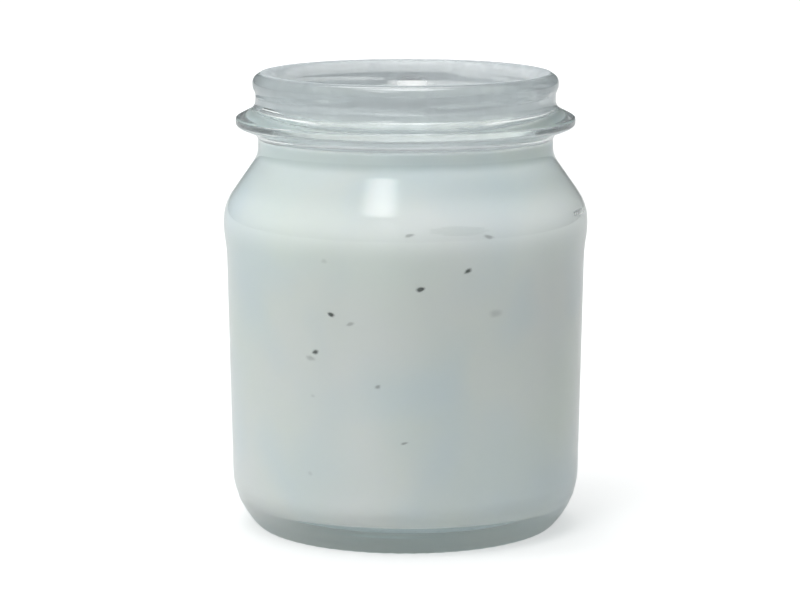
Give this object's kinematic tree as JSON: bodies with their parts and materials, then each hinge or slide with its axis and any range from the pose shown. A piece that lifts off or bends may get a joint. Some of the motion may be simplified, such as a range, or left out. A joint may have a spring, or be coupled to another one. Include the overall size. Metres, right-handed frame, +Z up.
{
  "type": "jar of kefir",
  "caption": "Open wide-mouth clear glass jar with a shoulder, short neck and collar, filled with white kefir up into the neck.",
  "frame": {"origin": "centre of the bearing ring that the jar stands on", "axes": "+Z up along the jar's axis, out of the open mouth; the jar is round about it"},
  "size_m": [0.072, 0.072, 0.09],
  "materials": {
    "jar_glass": "clear soda-lime glass, fire-polished, with a faint grey-green tint in the thick base",
    "kefir": "cool off-white cultured milk, wet against the glass",
    "fleck": "small dark flecks suspended in the kefir"
  },
  "bodies": {
    "root": {"glass_jar": "jar_glass", "kefir": "kefir"}
  },
  "joints": []
}
